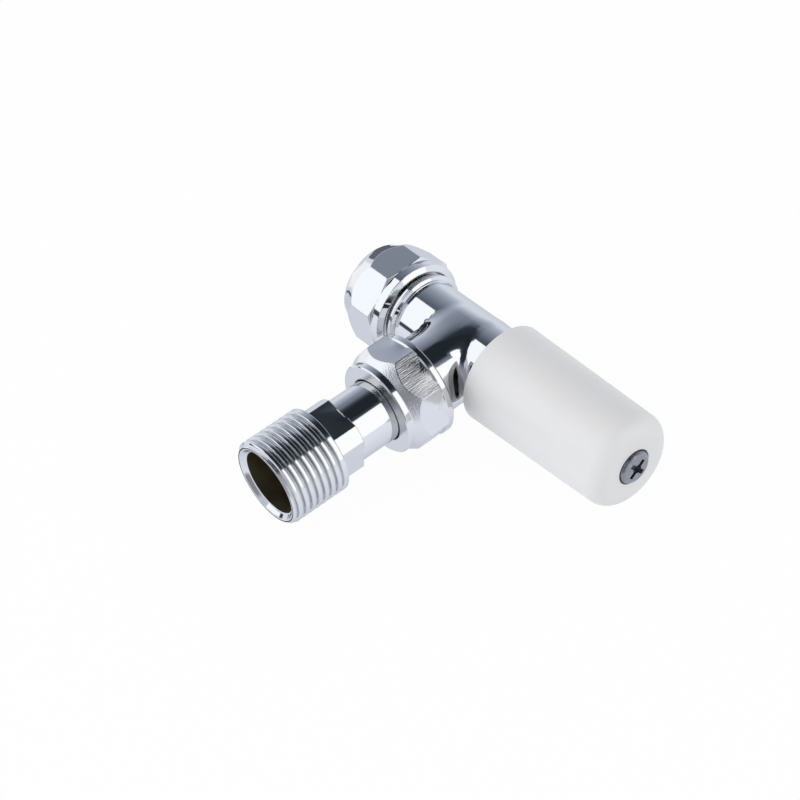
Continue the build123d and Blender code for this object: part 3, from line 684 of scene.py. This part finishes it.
def threadTree():
    # a skin round local X: a grid rolled up, where each point's radius follows the helix and the chamfers
    tree = bpy.data.node_groups.new("pipeThread", "GeometryNodeTree")
    tree.interface.new_socket("Geometry", in_out="OUTPUT", socket_type="NodeSocketGeometry")
    for name in ("Length", "Start Radius", "Start Slope", "End Radius", "End Slope",
                 "Fade From", "Fade To", "Turn"):
        tree.interface.new_socket(name, in_out="INPUT", socket_type="NodeSocketFloat")
    tree.interface.new_socket("Rows", in_out="INPUT", socket_type="NodeSocketInt")
    tree.interface.new_socket("Finish", in_out="INPUT", socket_type="NodeSocketMaterial")
    given = addNode(tree, "NodeGroupInput").outputs
    spot = addNode(tree, "GeometryNodeInputPosition")
    parts = addNode(tree, "ShaderNodeSeparateXYZ", inputs={0: spot.outputs[0]})
    values = {socket.name: socket for socket in given if socket.name}
    values.update(x=parts.outputs["X"], y=parts.outputs["Y"])
    for result, operation, *terms in threadSteps:
        kind, setting = "ShaderNodeMath", "operation"
        if operation == "SMOOTHSTEP":
            kind, setting = "ShaderNodeMapRange", "interpolation_type"
        terms = {place: values.get(term, term) for place, term in enumerate(terms)}
        values[result] = addNode(tree, kind, {setting: operation}, terms).outputs[0]
    reach = addNode(tree, "ShaderNodeMath", {"operation": "ADD"}, {
        0: given["Length"], 1: 2 * thread["margin"]})
    grid = addNode(tree, "GeometryNodeMeshGrid", inputs={
        "Size X": reach.outputs[0], "Size Y": 1.0, "Vertices X": given["Rows"],
        "Vertices Y": thread["columns"] + 1})
    rolled = addNode(tree, "ShaderNodeCombineXYZ", inputs={
        "X": values["along"], "Y": values["across"], "Z": values["high"]})
    small = addNode(tree, "ShaderNodeVectorMath", {"operation": "SCALE"}, {
        0: rolled.outputs[0], "Scale": mm})
    placed = addNode(tree, "GeometryNodeSetPosition", inputs={
        "Geometry": grid.outputs["Mesh"], "Position": small.outputs[0]})
    joined = addNode(tree, "GeometryNodeMergeByDistance", inputs={
        "Geometry": placed.outputs[0], "Distance": mergeGap})
    turned = addNode(tree, "GeometryNodeFlipFaces", inputs={"Mesh": joined.outputs[0]})
    smooth = addNode(tree, "GeometryNodeSetShadeSmooth", inputs={"Geometry": turned.outputs[0]})
    real = addNode(tree, "GeometryNodeRealizeInstances", inputs={"Geometry": smooth.outputs[0]})
    finish = addNode(tree, "GeometryNodeSetMaterial", inputs={
        "Geometry": real.outputs[0], "Material": given["Finish"]})
    addNode(tree, "NodeGroupOutput", inputs={"Geometry": finish.outputs[0]})
    return tree


pipeThread = threadTree()


def makeThread(name, body, sizes, place):
    # the tree's result, kept as a plain mesh that moves with a body
    holder = bpy.data.objects.new(name + "Holder", bpy.data.meshes.new(name + "Holder"))
    scene.collection.objects.link(holder)
    modifier = holder.modifiers.new("thread", "NODES")
    modifier.node_group = pipeThread
    rows = round(sizes["Length"] / thread["pitch"] * thread["rowsPerPitch"])
    values = dict(sizes, Rows=rows, Finish=chrome)
    for item in pipeThread.interface.items_tree:
        if item.in_out == "INPUT":
            modifier[item.identifier] = values[item.name]
    evaluated = holder.evaluated_get(bpy.context.evaluated_depsgraph_get())
    mesh = bpy.data.meshes.new_from_object(evaluated)
    mesh.name = name
    holder.modifiers.remove(modifier)
    bpy.data.objects.remove(holder)
    mesh.transform(place)
    piece = bpy.data.objects.new(name, mesh)
    scene.collection.objects.link(piece)
    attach(piece, body)
    return piece


def pullIn(piece, axisDistance, low, high, station):
    # the points of the plain cylinder under a thread, each with the scale that brings it in to the core
    for vertex in piece.data.vertices:
        spot = vertex.co / mm
        away = axisDistance(spot)
        if away > thread["core"] and low < station(spot) < high:
            scale = thread["core"] / away
            yield vertex, scale


ringSteps = 128  # faces round a turned ring

# Union tail: nose, neck, spanner flats and radiator thread
tail = {
    "threadStart": 43.9,
    "startSlope": 2.0,  # of the chamfers at the thread's two ends, as rise per length
    "endSlope": 1.0,
    "boreFace": 8.0,  # faces nearer the axis than this, looking inwards, are bore
    "mouthCut": 1.1,  # the bore's long triangles are cut this far in
    "fade": (0.7, 2.4),  # the groove deepens between these, counted from the thread's back
    "turn": 0.32,  # where the helix starts, in turns round the tail
    "rim": 0.5,  # the thread and its lip stand this far out of the solid's end face
    "rimBack": 0.8,  # the copy's own end face is moved back by this under the lip
    "endBand": 0.05,  # points this near the end belong to the end face
    "lip": (  # radius, and distance out of the end face
        (9.28, -0.8), (9.28, 0.3), (9.58, 0.46), (9.5, 0.5), (9.05, 0.5), (8.95, 0.45), (8.15, -0.4),
        (7.83, -0.52), (7.83, -0.8)),
    "lipPlate": -0.5,  # the lip is unplated further in than this
}


def fromTail(spot):
    return hypot(spot.y, spot.z - centreHeight)


def fromSpindle(spot):
    return hypot(spot.x, spot.y)


def looksIn(spot, normal, origin):
    return (spot - origin).dot(normal) < 0


def makeRing(name, node, section, place):
    # a closed section of radii and stations, spun round its own Z axis and put in place
    shape = bmesh.new()
    points = [shape.verts.new((radius * mm, 0, station * mm)) for radius, station in section]
    edges = [shape.edges.new((start, end)) for start, end in zip(points, points[1:] + points[:1])]
    bmesh.ops.spin(shape, geom=points + edges, axis=(0, 0, 1), steps=ringSteps, angle=2 * pi)
    bmesh.ops.remove_doubles(shape, verts=shape.verts, dist=mergeGap)
    bmesh.ops.recalc_face_normals(shape, faces=shape.faces)
    for face in shape.faces:
        face.smooth = True
    mesh = bpy.data.meshes.new(name)
    shape.to_mesh(mesh)
    shape.free()
    mesh.transform(place)
    mesh.materials.append(chrome)
    mesh.set_sharp_from_angle(angle=radians(weld["sharpAngle"]))
    piece = bpy.data.objects.new(name, mesh)
    scene.collection.objects.link(piece)
    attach(piece, bodyOf[node])
    return piece


def makeUnionTail():
    mouth = tailEnd - tail["mouthCut"]
    piece = weldedCopy("union_tail", "unionTail", [chrome, boreBrass], cut=(mouth, 0, 0))
    low, high = tail["threadStart"] - thread["slack"], tailEnd + thread["slack"]
    for vertex, scale in pullIn(piece, fromTail, low, high, lambda s: s.x):
        vertex.co.y *= scale
        vertex.co.z = centreHeight * mm + (vertex.co.z - centreHeight * mm) * scale
    for vertex in piece.data.vertices:
        if vertex.co.x / mm > tailEnd - tail["endBand"]:
            vertex.co.x = (tailEnd - tail["rimBack"]) * mm
    paintFaces(piece, 1, lambda spot, normal: spot.x < tailEnd and fromTail(spot) < tail["boreFace"]
               and looksIn(spot, normal, Vector((spot.x, 0, centreHeight))))
    finishPiece(piece, "union_tail")
    place = Matrix.Translation((tailEnd * mm, 0, centreHeight * mm)) @ Matrix.Rotation(pi / 2, 4, "Y")
    lip = makeRing("unionTailLip", "union_tail", tail["lip"], place)
    lip.data.materials.append(boreBrass)
    paintFaces(lip, 1, lambda spot, normal: spot.x < tailEnd + tail["lipPlate"]
               and looksIn(spot, normal, Vector((spot.x, 0, centreHeight))))
    makeThread("unionTailThread", bodyOf["union_tail"], {
        "Length": tailEnd + tail["rim"] - tail["threadStart"],
        "Start Radius": thread["endRadius"], "Start Slope": tail["startSlope"],
        "End Radius": thread["endRadius"], "End Slope": tail["endSlope"],
        "Fade From": tail["fade"][0], "Fade To": tail["fade"][1], "Turn": tail["turn"],
    }, Matrix.Translation((tail["threadStart"] * mm, 0, centreHeight * mm)))


makeUnionTail()
print("union tail made")

# Valve body: barrel and branch with a blended crotch, and two threads that the nuts cover
body = {
    "inletThread": (7.6, 16.8),  # stations up the spindle
    "branchThread": (14.7, 22.2),  # and along the branch
    "inside": 9.2,  # faces nearer an axis than this, looking inwards, are bore
    "shoulder": (  # radius and station round the ring behind the inlet thread
        (9.3, 16.4), (10.6, 16.4), (10.75, 16.5), (10.75, 16.85), (9.95, 17.3), (9.85, 17.55), (9.62, 17.65),
        (9.56, 18.0), (9.3, 18.15)),
}


# The forged middle, where barrel and branch melt into each other between the turned ends
forging = {
    "low": 24.5,  # stations up the barrel where the turned ends stop
    "high": 39.0,
    "ragged": 0.35,  # how far the turning tool's border wanders
    "raggedTurns": (23, 41, 9),  # waves round the barrel
    "highCalm": 3,  # the upper border wanders this many times less
    "step": 0.9,  # length of the lower border's slope
    "highStep": 3,  # and of the upper one's
    "domeEdge": 5,  # the swell rises and falls over this length
    "least": 0.3,  # least width of the hollow
    "reach": (10.5, 14.2),  # the melt dies out between these stations along the branch
    "barrel": 9.5,  # radius
    "belly": 0.1,  # how much fuller the barrel is towards the wheelhead
    "bellyFrom": (33.0, 36.5),
    "branch": 9.4,  # radius at the spindle's axis
    "branchSlope": 0.034,  # and how it grows along the branch
    "branchBack": 2,  # behind that axis the branch ends in a dome, this many times flatter than a ball
    "melt": 7.5,  # width of the hollow between them
    "swell": 1.6,  # and what is left of it where they run side by side
    "turnedMelt": 0.8,  # and at the turned end below
    "topMelt": 2.5,  # and above
    "box": ((-10.5, -10.5, 18.3), (14.2, 10.5, 46.5)),
    "slice": 0.6,  # spacing of the cuts that give the hollow its points
    "fineSlice": 0.2,  # and of those at the turned borders
    "fineReach": (-0.5, 1.2),  # how far to both sides of a border they go
    "cutSlack": 0.02,  # points this near a cut lie on it
    "turns": 8,  # times that each point is laid on the shape
    "probe": 0.002,  # step for the shape's slope
    "inner": 0.5,  # the wall's inside lies deeper than this
}


def easeStep(value, low, high):
    share = numpy.clip((value - low) / (high - low), 0, 1)
    return share * share * (3 - 2 * share)


def forgedDistance(spots):
    # distance to the skin: two round bars that melt together, wider where they cross more squarely
    x, y, z = spots.T
    fromBarrel = numpy.hypot(x, y)
    lower = numpy.sqrt((forging["branchBack"] * numpy.minimum(x, 0)) ** 2 + y ** 2 + (z - centreHeight) ** 2)
    around = numpy.arctan2(y, x)
    coarse, fine, slow = forging["raggedTurns"]
    wander = numpy.sin(coarse * around + 1) + numpy.sin(fine * around) + numpy.sin(slow * around)
    wander = forging["ragged"] * wander / 2
    rise = easeStep(z, forging["low"] + wander, forging["low"] + wander + forging["step"])
    top = forging["high"] + wander / forging["highCalm"]
    fall = 1 - easeStep(z, top - forging["highStep"], top)
    edge = forging["domeEdge"]
    dome = easeStep(z, forging["low"], forging["low"] + edge)
    dome = dome * (1 - easeStep(z, forging["high"] - edge, forging["high"]))
    barrel = forging["barrel"] + forging["belly"] * easeStep(z, *forging["bellyFrom"]) * fall
    branch = forging["branch"] + forging["branchSlope"] * numpy.maximum(x, 0)
    melt = forging["turnedMelt"] + (forging["melt"] - forging["turnedMelt"]) * rise
    melt = forging["topMelt"] + (melt - forging["topMelt"]) * fall
    cosine = (numpy.minimum(x, 0) ** 2 + y ** 2) / (fromBarrel * lower)
    width = (melt * (1 - cosine) + forging["swell"] * dome) * (1 - easeStep(x, *forging["reach"]))
    width = forging["least"] + width
    one = fromBarrel - barrel
    two = lower - branch
    share = numpy.maximum(width - abs(one - two), 0) / width
    return numpy.minimum(one, two) - share * share * width / 4


def forgedSlope(spots):
    step = forging["probe"]
    slope = numpy.zeros_like(spots)
    for axis in range(3):
        shift = numpy.zeros(3)
        shift[axis] = step
        slope[:, axis] = (forgedDistance(spots + shift) - forgedDistance(spots - shift)) / (2 * step)
    return slope


def forgeMiddle(piece):
    # cuts the skin's long triangles into small faces, then lays their points and normals on the forged shape
    shape = bmesh.new()
    shape.from_mesh(piece.data)
    lowest, highest = forging["box"]

    def onSkin(spot):
        if any(spot[axis] < lowest[axis] or spot[axis] > highest[axis] for axis in range(3)):
            return False
        deep = min(fromSpindle(spot) - forging["barrel"],
                   hypot(min(spot.x, 0), spot.y, spot.z - centreHeight) - forging["branch"])
        return deep > -forging["inner"]

    for axis in range(3):
        direction = Vector((0, 0, 0))
        direction[axis] = 1
        cuts = numpy.arange(lowest[axis] + forging["slice"] / 2, highest[axis], forging["slice"])
        if axis == 2:
            fine = numpy.arange(*forging["fineReach"], forging["fineSlice"])
            cuts = numpy.concatenate((cuts, forging["low"] + fine, forging["high"] - fine))
        skin = [face for face in shape.faces if onSkin(face.calc_center_median() / mm)]
        for cut in cuts:
            place = cut * mm
            faces = [face for face in skin if face.is_valid
                     and min(v.co[axis] for v in face.verts) < place < max(v.co[axis] for v in face.verts)]
            edges = {edge for face in faces for edge in face.edges}
            points = {point for face in faces for point in face.verts}
            made = bmesh.ops.bisect_plane(
                shape, geom=faces + list(edges) + list(points), dist=forging["cutSlack"] * mm,
                plane_co=direction * place, plane_no=direction)
            skin.extend(part for part in made["geom"] if isinstance(part, bmesh.types.BMFace))
            skin = list(dict.fromkeys(face for face in skin if face.is_valid))
    shape.to_mesh(piece.data)
    shape.free()
    mesh = piece.data
    spots = numpy.array([vertex.co for vertex in mesh.vertices]) / mm
    moved = numpy.array([onSkin(Vector(spot)) for spot in spots])
    skinSpots = spots[moved]
    for turn in range(forging["turns"]):
        slope = forgedSlope(skinSpots)
        skinSpots -= slope * (forgedDistance(skinSpots) / (slope ** 2).sum(axis=1))[:, None]
    away = numpy.linalg.norm(skinSpots - spots[moved], axis=1)
    print("body skin: points moved", int(moved.sum()), "furthest", float(away.max()), "mm, left over",
          float(abs(forgedDistance(skinSpots)).max()))
    spots[moved] = skinSpots
    mesh.vertices.foreach_set("co", (spots * mm).ravel())
    slope = forgedSlope(skinSpots)
    normals = numpy.zeros_like(spots)
    normals[moved] = slope / numpy.linalg.norm(slope, axis=1)[:, None]
    corners = numpy.array([loop.vertex_index for loop in mesh.loops])
    mesh.update()
    mesh.normals_split_custom_set(normals[corners].tolist())
    print("body skin cut into", len(mesh.polygons), "faces")


def makeShoulder():
    makeRing("inletShoulder", "valve_body", body["shoulder"], Matrix.Identity(4))


makeShoulder()


def makeValveBody():
    piece = weldedCopy("valve_body", "valveBody", [chrome, boreBrass])
    forgeMiddle(piece)
    slack, keep = thread["slack"], thread["keep"]
    low, high = body["inletThread"]
    for vertex, scale in pullIn(piece, fromSpindle, low - slack, high - keep, lambda s: s.z):
        vertex.co.x *= scale
        vertex.co.y *= scale
    start, end = body["branchThread"]
    for vertex, scale in pullIn(piece, fromTail, start + keep, end + slack, lambda s: s.x):
        vertex.co.y *= scale
        vertex.co.z = centreHeight * mm + (vertex.co.z - centreHeight * mm) * scale
    paintFaces(piece, 1, lambda spot, normal: fromSpindle(spot) < body["inside"]
               and looksIn(spot, normal, Vector((0, 0, spot.z))))
    paintFaces(piece, 1, lambda spot, normal: spot.x > body["inside"] > fromTail(spot)
               and looksIn(spot, normal, Vector((spot.x, 0, centreHeight))))
    finishPiece(piece, "valve_body")
    common = {"Fade From": thread["noFade"][0], "Fade To": thread["noFade"][1], "Turn": 0.0}
    makeThread("inletThread", bodyOf["valve_body"], {
        "Length": high - low, "Start Radius": thread["endRadius"], "Start Slope": 1.0,
        "End Radius": thread["backRadius"], "End Slope": thread["backSlope"], **common,
    }, Matrix.Translation((0, 0, low * mm)) @ Matrix.Rotation(-pi / 2, 4, "Y"))
    makeThread("branchThread", bodyOf["valve_body"], {
        "Length": end - start, "Start Radius": thread["backRadius"], "Start Slope": thread["backSlope"],
        "End Radius": thread["endRadius"], "End Slope": 1.0, **common,
    }, Matrix.Translation((start * mm, 0, centreHeight * mm)))


makeValveBody()
print("valve body made")

# Nuts: eight flats each
nuts = {
    "flatsRadius": 11.6,  # a flat lies further out than this
    "flatsLean": 0.02,  # and its normal leans no more than this along the axis
    "unionFlats": (17.4, 25.8),
    "coarseFlat": 33.1,  # degrees from -Y to +Z of one flat with coarse lines
    "coarseEvery": 90,  # degrees between them
    "unionNose": 25.75,
    "coneLean": 0.1,  # the cone's normal leans more than this along the axis
    "noseLean": 0.9,  # and the nose's end face more than this
    "inletFlats": (5.4, 11.7),
    "sameRing": 0.03,  # points this near a ring below belong to it
    "inletBack": (  # the collar's end runs in as one cone: radius and station, from and to
        ((12.3, 13.4), (12.3, 14.1)), ((12.0, 13.7), (12.2, 14.15)), ((11.3, 13.7), (11.8, 14.35)),
        ((11.3, 14.5), (11.3, 14.6)), ((11.0, 14.8), (10.9, 14.8))),
}


def isCoarse(normal):
    # every second flat met a blunter cutter
    turns = (degrees(atan2(normal.z, -normal.y)) - nuts["coarseFlat"]) / nuts["coarseEvery"]
    return abs(turns - round(turns)) < 1 / 4


def makeUnionNut():
    piece = weldedCopy("union_nut", "unionNut", [chrome, milledAlongTail, turnedChrome, milledSoft])
    start, end = nuts["unionFlats"]

    def isFlat(spot, normal):
        return (start < spot.x < end and abs(normal.x) < nuts["flatsLean"]
                and fromTail(spot) > nuts["flatsRadius"])

    paintFaces(piece, 3, isFlat)
    paintFaces(piece, 1, lambda spot, normal: isFlat(spot, normal) and isCoarse(normal))
    paintFaces(piece, 2, lambda spot, normal: start < spot.x < nuts["unionNose"]
               and normal.x > nuts["coneLean"])
    paintFaces(piece, 2, lambda spot, normal: spot.x > nuts["unionNose"] and normal.x > nuts["noseLean"])
    finishPiece(piece, "union_nut")


def makeInletNut():
    piece = weldedCopy("inlet_nut", "inletNut", [chrome, milledFine])
    for vertex in piece.data.vertices:
        for old, new in nuts["inletBack"]:
            away = hypot(fromSpindle(vertex.co / mm) - old[0], vertex.co.z / mm - old[1])
            if away < nuts["sameRing"]:
                scale = new[0] / old[0]
                vertex.co = (vertex.co.x * scale, vertex.co.y * scale, new[1] * mm)
                break
    piece.data.set_sharp_from_angle(angle=radians(weld["sharpAngle"]))
    start, end = nuts["inletFlats"]
    paintFaces(piece, 1, lambda spot, normal: start < spot.z < end and abs(normal.z) < nuts["flatsLean"]
               and fromSpindle(spot) > nuts["flatsRadius"])
    finishPiece(piece, "inlet_nut")


makeUnionNut()
makeInletNut()
print("nuts made")


def makeWheelhead():
    piece = weldedCopy("wheelhead", "wheelheadCap", [plastic])
    finishPiece(piece, "wheelhead")


def makeScrew():
    piece = weldedCopy("wheelhead_screw", "wheelheadScrew", [steel])
    finishPiece(piece, "wheelhead_screw")


makeWheelhead()
makeScrew()
print("wheelhead and screw made")

# Pieces inside the valve keep their CAD meshes
insideFinish = {
    "olive": brass, "retaining_ring": steel, "tail_seal": rubber, "headwork": brass, "headwork_seal": fibre,
    "gland_packing": yarn, "gland_washer": brass, "gland_nut": brass, "spindle": brass, "jumper": brass,
    "jumper_washer": rubber, "jumper_nut": brass,
}


def dressInside():
    for node, material in insideFinish.items():
        data = frame["nodes"][node].data
        data.materials.clear()
        data.materials.append(material)


dressInside()
print("inner pieces dressed:", len(insideFinish))
